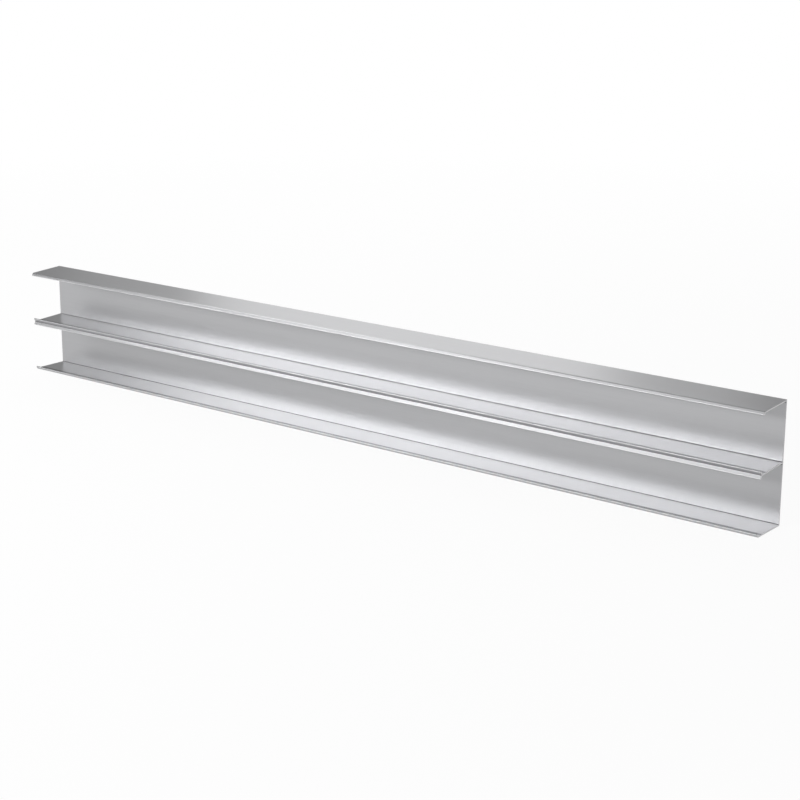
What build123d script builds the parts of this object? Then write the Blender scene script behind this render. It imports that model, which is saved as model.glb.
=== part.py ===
from build123d import *
from math import cos, radians, sin
import os

# Two-compartment aluminium channel, one straight length of an E-shaped extrusion, in millimetres.
# X runs along the length, +Y points to the back of the web and +Z is up.
# The origin is at the middle of the length and of the depth, on the underside of the bottom flange.

# The whole length and how far the flanges reach from the back of the web to the ends of their lips
length = 1325.0
depth = 60.0

# Clear heights of the two compartments along the back of the web, and the metal round them
lower_room = 80.7
upper_room = 78.3
web_thickness = 2.0
flange_thickness = 2.0

# The top and the middle flange fall this much from the back of the web to the bend of their lips
flange_fall = 2.8

# Flared lips that hold the covers, measured on their outer faces
edge_lip_reach = 4.2
fork_lip_reach = 4.6
lip_angle = 58.0
lip_thickness = 2.0
lip_edge_radius = 0.6

# Roundings of the lips: outside of a bend, trough behind a rising lip, root of a falling lip and the
# crotch of the fork
bend_radius = 2.5
trough_radius = 5.0
root_radius = 2.0
crotch_radius = 0.8

# Roundings at the web: outside corners, corners under a flange and corners above the two lower flanges
outer_corner_radius = 0.5
ceiling_radius = 2.0
middle_fillet = 3.0
bottom_fillet = 1.2

# Marking groove along the back of the web
groove_below_top = 23.5
groove_width = 2.4
groove_depth = 1.0

bottom_flange_top = flange_thickness
middle_flange_bottom = bottom_flange_top + lower_room
middle_flange_top = middle_flange_bottom + flange_thickness
top_flange_bottom = middle_flange_top + upper_room
height = top_flange_bottom + flange_thickness
fork_height = (middle_flange_bottom + middle_flange_top) / 2 - flange_fall

# The lips reach the full depth at their rounded ends, so their sharp corners stand a little further out
lip_cos = cos(radians(lip_angle))
lip_sin = sin(radians(lip_angle))
lip_corner_depth = depth + lip_edge_radius * (lip_cos + lip_sin - 1)
edge_bend_depth = lip_corner_depth - edge_lip_reach * lip_cos / lip_sin
fork_depth = lip_corner_depth - fork_lip_reach * lip_cos / lip_sin
top_slope = flange_fall / edge_bend_depth
middle_slope = flange_fall / fork_depth


def place(out, up):
    """Section point at a distance out from the back of the web and a height up."""
    return (depth / 2 - out, up)


def lip(bend_height, side, reach, flange_face, slope=0.0):
    """Corners of a lip that flares down (-1) or up (+1): outer root, outer end, inner end, inner root.

    The inner root is where the lip meets the flange's inner face, which falls by the slope from flange_face.
    """
    outer_root = (lip_corner_depth - reach * lip_cos / lip_sin, bend_height)
    outer_end = (lip_corner_depth, bend_height + side * reach)
    inner_end = (outer_end[0] - lip_thickness * lip_sin, outer_end[1] + side * lip_thickness * lip_cos)
    above_face = inner_end[1] - (flange_face - slope * inner_end[0])
    inner_length = above_face / (side * lip_sin + slope * lip_cos)
    inner_root = (inner_end[0] - inner_length * lip_cos, inner_end[1] - side * inner_length * lip_sin)
    return outer_root, outer_end, inner_end, inner_root


top_bend, top_outer, top_inner, top_root = lip(
    height - flange_fall, -1, edge_lip_reach, top_flange_bottom, top_slope)
crotch, fork_up_outer, fork_up_inner, fork_up_root = lip(
    fork_height, +1, fork_lip_reach, middle_flange_top, middle_slope)
crotch, fork_down_outer, fork_down_inner, fork_down_root = lip(
    fork_height, -1, fork_lip_reach, middle_flange_bottom, middle_slope)
bottom_bend, bottom_outer, bottom_inner, bottom_root = lip(0.0, +1, edge_lip_reach, bottom_flange_top)

upper_ceiling = top_flange_bottom - top_slope * web_thickness
upper_floor = middle_flange_top - middle_slope * web_thickness
lower_ceiling = middle_flange_bottom - middle_slope * web_thickness
groove_height = height - groove_below_top

# Outline of the section with the rounding of each corner, from the top back corner round to the groove
corners = [
    ((0, height), outer_corner_radius),
    (top_bend, bend_radius),
    (top_outer, lip_edge_radius),
    (top_inner, lip_edge_radius),
    (top_root, root_radius),
    ((web_thickness, upper_ceiling), ceiling_radius),
    ((web_thickness, upper_floor), middle_fillet),
    (fork_up_root, trough_radius),
    (fork_up_inner, lip_edge_radius),
    (fork_up_outer, lip_edge_radius),
    (crotch, crotch_radius),
    (fork_down_outer, lip_edge_radius),
    (fork_down_inner, lip_edge_radius),
    (fork_down_root, root_radius),
    ((web_thickness, lower_ceiling), ceiling_radius),
    ((web_thickness, bottom_flange_top), bottom_fillet),
    (bottom_root, trough_radius),
    (bottom_inner, lip_edge_radius),
    (bottom_outer, lip_edge_radius),
    (bottom_bend, bend_radius),
    ((0, 0), outer_corner_radius),
    ((0, groove_height - groove_width / 2), 0),
    ((groove_depth, groove_height), 0),
    ((0, groove_height + groove_width / 2), 0),
]

with BuildPart() as channel_profile:
    with BuildSketch(Plane.YZ) as section:
        with BuildLine():
            Polyline(*[place(*corner) for corner, _ in corners], close=True)
        make_face()
        for corner, radius in corners:
            if radius:
                at_corner = Vector(*place(*corner))
                fillet(section.vertices().sort_by_distance(at_corner)[0], radius)
    extrude(amount=length / 2, both=True)

channel_profile.part.label = "channel_profile"

os.makedirs("parts", exist_ok=True)
export_step(channel_profile.part, "parts/channel_profile.step")
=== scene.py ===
from math import cos, pi, radians, sin

import bpy
import numpy as np
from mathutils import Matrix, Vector


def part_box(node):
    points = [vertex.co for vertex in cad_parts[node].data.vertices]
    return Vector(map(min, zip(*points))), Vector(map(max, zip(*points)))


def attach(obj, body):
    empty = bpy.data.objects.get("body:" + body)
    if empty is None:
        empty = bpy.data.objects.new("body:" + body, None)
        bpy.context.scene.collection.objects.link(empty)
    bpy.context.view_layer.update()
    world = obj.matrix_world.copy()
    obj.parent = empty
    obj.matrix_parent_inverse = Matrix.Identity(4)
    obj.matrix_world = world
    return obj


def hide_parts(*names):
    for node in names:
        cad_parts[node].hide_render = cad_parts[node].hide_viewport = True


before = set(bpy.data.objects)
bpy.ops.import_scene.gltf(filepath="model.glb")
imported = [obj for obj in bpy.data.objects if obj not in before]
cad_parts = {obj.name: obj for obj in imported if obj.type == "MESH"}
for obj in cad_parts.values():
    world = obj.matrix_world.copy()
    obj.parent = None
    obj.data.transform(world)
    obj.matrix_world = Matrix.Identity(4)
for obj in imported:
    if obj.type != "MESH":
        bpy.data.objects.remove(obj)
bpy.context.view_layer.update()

mm = 0.001
cadName = "channel_profile"
cadLow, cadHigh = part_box(cadName)

# Camera at the photograph's place: metres and degrees, with the lens and the sensor's width in millimetres
cameraSet = {"place": (1.63133, -1.98684, 0.7674), "turn": (74.52, -0.239, 38.051), "lens": 82.726,
             "sensor": 36.0, "farthest": 100.0}


def viewCamera(look):
    data = bpy.data.cameras.new("camera")
    data.sensor_width, data.lens, data.clip_end = look["sensor"], look["lens"], look["farthest"]
    camera = bpy.data.objects.new("camera", data)
    bpy.context.collection.objects.link(camera)
    camera.location = look["place"]
    camera.rotation_euler = [radians(angle) for angle in look["turn"]]
    bpy.context.scene.camera = camera


# The aluminium skin. Its section has the solid's sizes, but for smaller roundings above the two lower
# flanges and a larger one in the fork's crotch.
skinSet = {
    "lowerRoom": 80.7 * mm, "upperRoom": 78.3 * mm, "web": 2.0 * mm, "flange": 2.0 * mm,
    "flangeFall": 2.8 * mm, "edgeLipReach": 4.2 * mm, "forkLipReach": 4.6 * mm, "lipAngle": 58.0,
    "lipThickness": 2.0 * mm, "lipEdge": 0.6 * mm, "bend": 2.5 * mm, "trough": 5.0 * mm, "root": 2.0 * mm,
    "crotch": 1.5 * mm, "outerCorner": 0.5 * mm, "ceiling": 2.0 * mm, "middleFillet": 1.2 * mm,
    "bottomFillet": 0.8 * mm, "grooveBelowTop": 23.5 * mm, "grooveWidth": 2.4 * mm, "grooveDepth": 1.0 * mm,
    "grooveEdge": 0.08 * mm, "sawnBevel": 0.15 * mm,
    "arcSteps": 13, "stations": 67,  # points across a rounding, and cuts along the length
    "wearAndShadeLeast": 0.2 * mm, "rubbedHighlightBelow": 1.0 * mm,  # radii: the least rounding that takes the rubbed highlight and the painted shade, and the most that takes the rubbed highlight
    # The painted shade's spread across the inside roundings, and its share in the middle corner
    "shadeSpread": 0.4, "middleShade": 0.4,
    "lipShadowLines": (("upRoot", 5.4 * mm, 0.7), ("lowRoot", 4.4 * mm, 1.0)),  # painted shadow lines behind the rising lips: corner, how far before it, strength
    # How far from its centre a painted shadow line stays whole, and where it has faded out
    "lipShadowCore": 1.7 * mm, "lipShadowHalf": 3.4 * mm,
}


def lipShape(size, depth):
    # Cosine and sine of the lips' angle, and how far out their sharp corners stand, so that the rounded ones
    # reach the full depth
    lipCos, lipSin = cos(radians(size["lipAngle"])), sin(radians(size["lipAngle"]))
    return lipCos, lipSin, depth + size["lipEdge"] * (lipCos + lipSin - 1)


def lipCorners(size, depth, bendHeight, side, lipReach, face, slope=0.0):
    # A lip leaves the flange at bendHeight and flares down (side -1) or up (side +1) by lipReach at its outer
    # face. Its inner face lies one thickness behind and ends where it meets the flange's inner face.
    lipCos, lipSin, out = lipShape(size, depth)
    outerEnd = (out, bendHeight + side * lipReach)
    innerEnd = (out - size["lipThickness"] * lipSin, outerEnd[1] + side * size["lipThickness"] * lipCos)
    inner = (innerEnd[1] - face + slope * innerEnd[0]) / (side * lipSin + slope * lipCos)
    innerRoot = (innerEnd[0] - inner * lipCos, innerEnd[1] - side * inner * lipSin)
    return (out - lipReach * lipCos / lipSin, bendHeight), outerEnd, innerEnd, innerRoot


def sectionCorners(size, depth):
    # Names, places (out from the back, up) and radii of the corners, from the top back one forward and round
    # to the groove. The top and the middle flange fall evenly from the back of the web to their lips' bends.
    flange, web = size["flange"], size["web"]
    middleBottom = flange + size["lowerRoom"]
    middleTop = middleBottom + flange
    topBottom = middleTop + size["upperRoom"]
    height = topBottom + flange
    lipCos, lipSin, out = lipShape(size, depth)
    fall, edgeReach, forkReach = size["flangeFall"], size["edgeLipReach"], size["forkLipReach"]
    topSlope = fall / (out - edgeReach * lipCos / lipSin)
    middleSlope = fall / (out - forkReach * lipCos / lipSin)
    fork = (middleBottom + middleTop) / 2 - fall
    topBend, topOuter, topInner, topRoot = lipCorners(
        size, depth, height - fall, -1, edgeReach, topBottom, topSlope)
    crotch, upOuter, upInner, upRoot = lipCorners(
        size, depth, fork, +1, forkReach, middleTop, middleSlope)
    crotch, downOuter, downInner, downRoot = lipCorners(
        size, depth, fork, -1, forkReach, middleBottom, middleSlope)
    lowBend, lowOuter, lowInner, lowRoot = lipCorners(size, depth, 0.0, +1, edgeReach, flange)
    groove, half = height - size["grooveBelowTop"], size["grooveWidth"] / 2
    edge = size["lipEdge"]
    rows = [
        ("topBack", (0, height), size["outerCorner"]),
        ("topBend", topBend, size["bend"]),
        ("topOuter", topOuter, edge),
        ("topInner", topInner, edge),
        ("topRoot", topRoot, size["root"]),
        ("upperCeiling", (web, topBottom - topSlope * web), size["ceiling"]),
        ("middleCorner", (web, middleTop - middleSlope * web), size["middleFillet"]),
        ("upRoot", upRoot, size["trough"]),
        ("upInner", upInner, edge),
        ("upOuter", upOuter, edge),
        ("crotch", crotch, size["crotch"]),
        ("downOuter", downOuter, edge),
        ("downInner", downInner, edge),
        ("downRoot", downRoot, size["root"]),
        ("lowerCeiling", (web, middleBottom - middleSlope * web), size["ceiling"]),
        ("bottomCorner", (web, flange), size["bottomFillet"]),
        ("lowRoot", lowRoot, size["trough"]),
        ("lowInner", lowInner, edge),
        ("lowOuter", lowOuter, edge),
        ("lowBend", lowBend, size["bend"]),
        ("bottomBack", (0, 0), size["outerCorner"]),
        ("grooveLower", (0, groove - half), size["grooveEdge"]),
        ("grooveDeepest", (size["grooveDepth"], groove), size["grooveEdge"]),
        ("grooveUpper", (0, groove + half), size["grooveEdge"]),
    ]
    names, corners, radii = zip(*rows)
    return names, np.array(corners), np.array(radii)


def roundedOutline(corners, radii, steps):
    # Each corner becomes an arc tangent to its two sides. The centre lies on the bisector at
    # radius / sin(half the corner's angle), and the arc sweeps from one tangent point to the other.
    back = np.roll(corners, 1, 0) - corners
    ahead = np.roll(corners, -1, 0) - corners
    back /= np.linalg.norm(back, axis=1, keepdims=True)
    ahead /= np.linalg.norm(ahead, axis=1, keepdims=True)
    half = 0.5 * np.arccos(np.clip((back * ahead).sum(1), -1, 1))
    bisector = (back + ahead) / np.linalg.norm(back + ahead, axis=1, keepdims=True)
    centres = corners + bisector * (radii / np.sin(half))[:, None]
    reach = (radii / np.tan(half))[:, None]
    start, end = corners + back * reach - centres, corners + ahead * reach - centres
    first = np.arctan2(start[:, 1], start[:, 0])
    sweep = (np.arctan2(end[:, 1], end[:, 0]) - first + pi) % (2 * pi) - pi
    angle = first[:, None] + sweep[:, None] * np.linspace(0, 1, steps)
    spoke = np.stack([np.cos(angle), np.sin(angle)], -1)
    points = centres[:, None] + radii[:, None, None] * spoke
    turn = back[:, 0] * ahead[:, 1] - back[:, 1] * ahead[:, 0]
    area = (corners[:, 0] * np.roll(corners[:, 1], -1) - corners[:, 1] * np.roll(corners[:, 0], -1)).sum()
    outward = np.where(turn * area < 0, 1.0, -1.0)  # +1 on outside corners, -1 on inside ones
    return points.reshape(-1, 2), (spoke * outward[:, None, None]).reshape(-1, 2), outward


def distanceRound(outline):
    # The way round the outline to each of its points, and last the whole way round
    steps = np.linalg.norm(np.roll(outline, -1, 0) - outline, axis=1)
    return np.concatenate([[0.0], np.cumsum(steps)])


def lipShadowPlaces(size, depth):
    # How far round the outline each painted shadow line behind a rising lip lies, and how strong it is
    names, corners, radii = sectionCorners(size, depth)
    around = distanceRound(roundedOutline(corners, radii, size["arcSteps"])[0])
    return [(float(around[names.index(corner) * size["arcSteps"]]) - before, strength)
            for corner, before, strength in size["lipShadowLines"]]


def sweptSkin(name, size, low, high):
    # The outline is carried along X: grid point (i, j) is outline point j at station i. The first and the
    # last station are drawn in by the bevel along the outline's normals, which breaks the sawn edges.
    names, corners, radii = sectionCorners(size, high[1] - low[1])
    outline, normals, outward = roundedOutline(corners, radii, size["arcSteps"])
    bevel = size["sawnBevel"]
    along = np.linspace(low[0] + bevel, high[0] - bevel, size["stations"])
    along = np.concatenate([[low[0]], along, [high[0]]])
    rows, columns = len(along), len(outline)
    inset = np.zeros(rows)
    inset[[0, -1]] = bevel
    flat = outline[None] - normals[None] * inset[:, None, None]
    points = np.empty((rows, columns, 3))
    points[..., 0] = along[:, None]
    points[..., 1] = high[1] - flat[..., 0]
    points[..., 2] = low[2] + flat[..., 1]
    i, j = np.meshgrid(np.arange(rows - 1), np.arange(columns), indexing="ij")
    k = (j + 1) % columns
    quads = [i * columns + j, i * columns + k, (i + 1) * columns + k, (i + 1) * columns + j]
    quads = np.stack(quads, -1).reshape(-1, 4)
    startCap, endCap = np.arange(columns)[::-1], (rows - 1) * columns + np.arange(columns)
    faces = quads.tolist() + [startCap.tolist(), endCap.tolist()]
    mesh = bpy.data.meshes.new(name)
    mesh.from_pydata(points.reshape(-1, 3).tolist(), [], faces)
    mesh.update()
    mesh.shade_smooth()
    # Exact normals: the outline's own on the long faces, turning to the cap's across the bevel
    side = np.stack([np.zeros(columns), -normals[:, 0], normals[:, 1]], -1)
    sideNormals = side[quads % columns]
    sideNormals[quads < columns] = (-1, 0, 0)
    sideNormals[quads >= (rows - 1) * columns] = (1, 0, 0)
    capNormals = np.repeat([[-1.0, 0, 0], [1.0, 0, 0]], columns, 0)
    mesh.normals_split_custom_set(np.concatenate([sideNormals.reshape(-1, 3), capNormals]).tolist())
    # UV in metres: the length, and the distance round the outline. A cap has its own places in the section.
    around = distanceRound(outline)
    uvSide = np.stack([along[quads // columns], around[quads % columns]], -1)
    closing = (quads % columns == 0) & (k.reshape(-1, 1) == 0)
    uvSide[..., 1][closing] = around[-1]
    uvCaps = np.concatenate([points[0, ::-1, 1:], points[-1, :, 1:]])
    layer = mesh.uv_layers.new(name="drawn")
    layer.data.foreach_set("uv", np.concatenate([uvSide.reshape(-1, 2), uvCaps]).astype(np.float32).ravel())
    # Rubbed highlight and painted shade across a rounding go as sin(pi t) from its start to its end, so that
    # the flat faces keep their own
    #  tone. The thin outside roundings are rubbed bright, a painted highlight. The inside ones get painted
    #  shade, darker in the inside corners, and the spread's power makes it fill more of their width.
    wornAndShaded = radii > size["wearAndShadeLeast"]
    # The thin outside roundings take a painted highlight: brighter metal along the rubbed lips' ends
    rubbedHighlight = wornAndShaded & (outward > 0) & (radii < size["rubbedHighlightBelow"])
    middle = np.array(names) == "middleCorner"
    # Painted shade in the inside roundings, a smaller share of it in the middle corner
    paintedShade = (wornAndShaded & (outward < 0)) * np.where(middle, size["middleShade"], 1.0)
    across = np.sin(pi * np.linspace(0, 1, size["arcSteps"])).clip(0)
    spread = across ** size["shadeSpread"]
    for wearAndShadeName, share, profile in (("rubbedHighlight", rubbedHighlight, across), ("paintedShade", paintedShade, spread)):
        wearAndShade = np.tile(np.outer(share, profile).ravel(), rows).astype(np.float32)
        mesh.attributes.new(wearAndShadeName, "FLOAT", "POINT").data.foreach_set("value", wearAndShade)
    # The first material is for the long faces and the second for the two sawn ends
    slots = np.concatenate([np.zeros(len(quads)), np.ones(2)]).astype(np.int32)
    mesh.polygons.foreach_set("material_index", slots)
    piece = bpy.data.objects.new(name, mesh)
    bpy.context.collection.objects.link(piece)
    return piece


def newMaterial(name):
    material = bpy.data.materials.new(name)
    material.use_nodes = True
    nodes, links = material.node_tree.nodes, material.node_tree.links
    return material, nodes, links, nodes["Principled BSDF"]


def mixedColour(nodes, links, factor, low, high):
    # A colour between low and high; either may be a socket of another node
    mix = nodes.new("ShaderNodeMix")
    mix.data_type = "RGBA"
    links.new(factor, mix.inputs["Factor"])
    for socket, colour in (("A", low), ("B", high)):
        if isinstance(colour, tuple):
            mix.inputs[socket].default_value = colour
        else:
            links.new(colour, mix.inputs[socket])
    return mix.outputs["Result"]


def workedOut(nodes, links, operation, first, second=None):
    # A Math node on one socket and, for an operation on two, another socket or a number
    node = nodes.new("ShaderNodeMath")
    node.operation = operation
    links.new(first, node.inputs[0])
    if isinstance(second, float):
        node.inputs[1].default_value = second
    elif second is not None:
        links.new(second, node.inputs[1])
    return node.outputs[0]


def mappedRange(nodes, links, value, fromLow, fromHigh, toLow, toHigh):
    ends = {"From Min": fromLow, "From Max": fromHigh, "To Min": toLow, "To Max": toHigh}
    node = nodes.new("ShaderNodeMapRange")
    for socket, number in ends.items():
        node.inputs[socket].default_value = number
    links.new(value, node.inputs["Value"])
    return node.outputs["Result"]


def stretchedNoise(nodes, links, scale, detail, stretch, turn=0.0):
    # Noise drawn out into lines; turn leans them in the plane of the section
    place = nodes.new("ShaderNodeTexCoord")
    shape = nodes.new("ShaderNodeMapping")
    shape.vector_type = "TEXTURE"
    shape.inputs["Rotation"].default_value = (radians(turn), 0, 0)
    shape.inputs["Scale"].default_value = stretch
    links.new(place.outputs["Object"], shape.inputs["Vector"])
    noise = nodes.new("ShaderNodeTexNoise")
    noise.inputs["Scale"].default_value = scale
    noise.inputs["Detail"].default_value = detail
    links.new(shape.outputs[0], noise.inputs["Vector"])
    return noise.outputs["Fac"]


def bandRound(nodes, links, centre, core, half, strength):
    # The strength in a band round the outline: whole in its core, and falling to nothing at its edges
    place = nodes.new("ShaderNodeUVMap")
    place.uv_map = "drawn"
    parts = nodes.new("ShaderNodeSeparateXYZ")
    links.new(place.outputs["UV"], parts.inputs[0])
    fromCentre = workedOut(nodes, links, "SUBTRACT", parts.outputs["Y"], centre)
    away = workedOut(nodes, links, "ABSOLUTE", fromCentre)
    return mappedRange(nodes, links, away, core, half, strength, 0.0)


def reliefFrom(nodes, links, height, depth, strength, shader):
    bump = nodes.new("ShaderNodeBump")
    bump.inputs["Distance"].default_value = depth
    bump.inputs["Strength"].default_value = strength
    links.new(height, bump.inputs["Height"])
    links.new(bump.outputs[0], shader.inputs["Normal"])


# Drawn aluminium: a grey with a touch of violet and fine die lines along its length, with a painted highlight
# where the lips'
#  ends are rubbed bright, painted shade in the inside corners and a painted shadow line behind each rising lip.
#  grainTurn is a quarter turn, so that highlights spread across the die lines.
drawnSet = {
    "pale": (0.43, 0.431, 0.441, 1), "dull": (0.395, 0.396, 0.405, 1), "rubbedHighlight": (0.60, 0.60, 0.61, 1),
    "paintedShade": (0.15, 0.15, 0.155, 1), "roughness": 0.30, "anisotropy": 0.6, "grainTurn": 0.25,
    "lineScale": 900.0, "lineDetail": 3, "lineStretch": (250, 1, 1), "lineDepth": 0.02 * mm,
    "lineStrength": 0.25,
}


def drawnAluminium(look, lipShadowLines, lipShadowCore, lipShadowHalf):
    material, nodes, links, shader = newMaterial("drawnAluminium")
    shader.inputs["Metallic"].default_value = 1.0
    shader.inputs["Roughness"].default_value = look["roughness"]
    shader.inputs["Anisotropic"].default_value = look["anisotropy"]
    shader.inputs["Anisotropic Rotation"].default_value = look["grainTurn"]
    grain = nodes.new("ShaderNodeTangent")
    grain.direction_type = "UV_MAP"
    grain.uv_map = "drawn"
    links.new(grain.outputs[0], shader.inputs["Tangent"])
    lines = stretchedNoise(nodes, links, look["lineScale"], look["lineDetail"], look["lineStretch"])
    metal = mixedColour(nodes, links, lines, look["dull"], look["pale"])
    # A painted highlight on the rubbed lips' ends, and painted shade in the inside roundings
    for wearAndShadeName in ("rubbedHighlight", "paintedShade"):
        wearAndShade = nodes.new("ShaderNodeAttribute")
        wearAndShade.attribute_name = wearAndShadeName
        metal = mixedColour(nodes, links, wearAndShade.outputs["Fac"], metal, look[wearAndShadeName])
    # Painted shadow lines behind the rising lips, in the painted shade's colour
    for centre, strength in lipShadowLines:
        band = bandRound(nodes, links, centre, lipShadowCore, lipShadowHalf, strength)
        metal = mixedColour(nodes, links, band, metal, look["paintedShade"])
    links.new(metal, shader.inputs["Base Color"])
    reliefFrom(nodes, links, lines, look["lineDepth"], look["lineStrength"], shader)
    return material


# Sawn ends: brighter bare metal with the blade's fine marks leaning across the section
sawnSet = {
    "pale": (0.66, 0.66, 0.67, 1), "dull": (0.50, 0.50, 0.51, 1), "roughness": 0.42, "markScale": 1400.0,
    "markDetail": 3, "markStretch": (1, 30, 1), "markTurn": 62.0, "markDepth": 0.05 * mm, "markStrength": 0.5,
}


def sawnAluminium(look):
    material, nodes, links, shader = newMaterial("sawnAluminium")
    shader.inputs["Metallic"].default_value = 1.0
    shader.inputs["Roughness"].default_value = look["roughness"]
    marks = stretchedNoise(nodes, links, look["markScale"], look["markDetail"], look["markStretch"],
                           look["markTurn"])
    links.new(mixedColour(nodes, links, marks, look["dull"], look["pale"]), shader.inputs["Base Color"])
    reliefFrom(nodes, links, marks, look["markDepth"], look["markStrength"], shader)
    return material


# Floor and sky. To the eye and in reflections, whiteShare of the floor is white glow, and the rest is plain
# pale paint that takes the channel's shadow. From whiteStart to whiteEnd metres out, the glow rises to the
# whole.
stageSet = {
    "floorColour": (0.85, 0.85, 0.85, 1), "floorRoughness": 0.9, "floorHalf": 14.0, "floorDrop": 0.3 * mm,
    "whiteShare": 0.94, "whiteStart": 1.0, "whiteEnd": 3.0, "skyLevel": 0.35,
}


def plainFloor(look):
    # A plain square just under the channel
    half, drop = look["floorHalf"], -look["floorDrop"]
    corners = [(-half, -half, drop), (half, -half, drop), (half, half, drop), (-half, half, drop)]
    mesh = bpy.data.meshes.new("floor")
    mesh.from_pydata(corners, [], [(0, 1, 2, 3)])
    piece = bpy.data.objects.new("floor", mesh)
    bpy.context.collection.objects.link(piece)
    material, nodes, links, shader = newMaterial("paleFloor")
    shader.inputs["Base Color"].default_value = look["floorColour"]
    shader.inputs["Roughness"].default_value = look["floorRoughness"]
    shader.inputs["Specular IOR Level"].default_value = 0.0
    white = nodes.new("ShaderNodeEmission")
    place = nodes.new("ShaderNodeTexCoord")
    away = nodes.new("ShaderNodeVectorMath")
    away.operation = "LENGTH"
    links.new(place.outputs["Object"], away.inputs[0])
    share = mappedRange(nodes, links, away.outputs["Value"], look["whiteStart"], look["whiteEnd"],
                        look["whiteShare"], 1.0)
    ray = nodes.new("ShaderNodeLightPath")
    seen = ray.outputs["Is Camera Ray"]
    for other in ("Is Glossy Ray", "Is Transmission Ray"):
        seen = workedOut(nodes, links, "MAXIMUM", seen, ray.outputs[other])
    both = nodes.new("ShaderNodeMixShader")
    links.new(workedOut(nodes, links, "MULTIPLY", seen, share), both.inputs["Fac"])
    links.new(shader.outputs[0], both.inputs[1])
    links.new(white.outputs[0], both.inputs[2])
    links.new(both.outputs[0], nodes["Material Output"].inputs["Surface"])
    mesh.materials.append(material)


def plainSky(look):
    world = bpy.data.worlds.new("studio")
    bpy.context.scene.world = world
    world.use_nodes = True
    sky = world.node_tree.nodes["Background"]
    sky.inputs["Color"].default_value = (1, 1, 1, 1)
    sky.inputs["Strength"].default_value = look["skyLevel"]


# Soft lamps, all at one distance from the point that they face. Each has its degrees from the front (negative
# is the camera's left) and above the floor, its width and height in metres, and its brightness, where 1 is
# white paper in plain light.
lightSet = {
    "aim": (0, 0, 0.08), "away": 2.5,
    "lamps": {
        "frontLeft": (-27.5, 19, 2.3, 0.4, 14.0),
        "frontUpper": (-22, 32, 1.3, 0.45, 3.2),
        "leftLow": (-50, 12, 1.9, 0.45, 2.6),
        "highLeft": (-78, 50, 2.0, 0.7, 1.8),
        "backUpper": (-132, 47, 2.3, 0.6, 2.3),
        "backLeft": (-143, 22, 1.15, 0.9, 0.85),
        "backWide": (-143, 21, 1.9, 0.85, 0.22),
    },
}


def softLamp(name, look):
    # A rectangle of light that faces the channel; its power is pi times its area times its brightness
    turn, rise, width, height, level = look["lamps"][name]
    data = bpy.data.lights.new(name, "AREA")
    data.shape, data.size, data.size_y = "RECTANGLE", width, height
    data.energy = pi * width * height * level
    lamp = bpy.data.objects.new(name, data)
    bpy.context.collection.objects.link(lamp)
    turn, rise = radians(turn), radians(rise)
    toLamp = Vector((sin(turn) * cos(rise), -cos(turn) * cos(rise), sin(rise)))
    lamp.location = Vector(look["aim"]) + toLamp * look["away"]
    lamp.rotation_euler = (-toLamp).to_track_quat("-Z", "Y").to_euler()
    lamp.visible_camera = False


viewCamera(cameraSet)
print("camera placed")

skin = sweptSkin("channelSkin", skinSet, cadLow, cadHigh)
lipShadowLines = lipShadowPlaces(skinSet, cadHigh[1] - cadLow[1])
skin.data.materials.append(drawnAluminium(drawnSet, lipShadowLines, skinSet["lipShadowCore"], skinSet["lipShadowHalf"]))
skin.data.materials.append(sawnAluminium(sawnSet))
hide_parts(cadName)
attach(skin, "root")
print("skin swept:", len(skin.data.polygons), "faces")

plainFloor(stageSet)
plainSky(stageSet)
for name in lightSet["lamps"]:
    softLamp(name, lightSet)
bpy.context.scene.view_settings.view_transform = "Standard"
print("stage and light set")
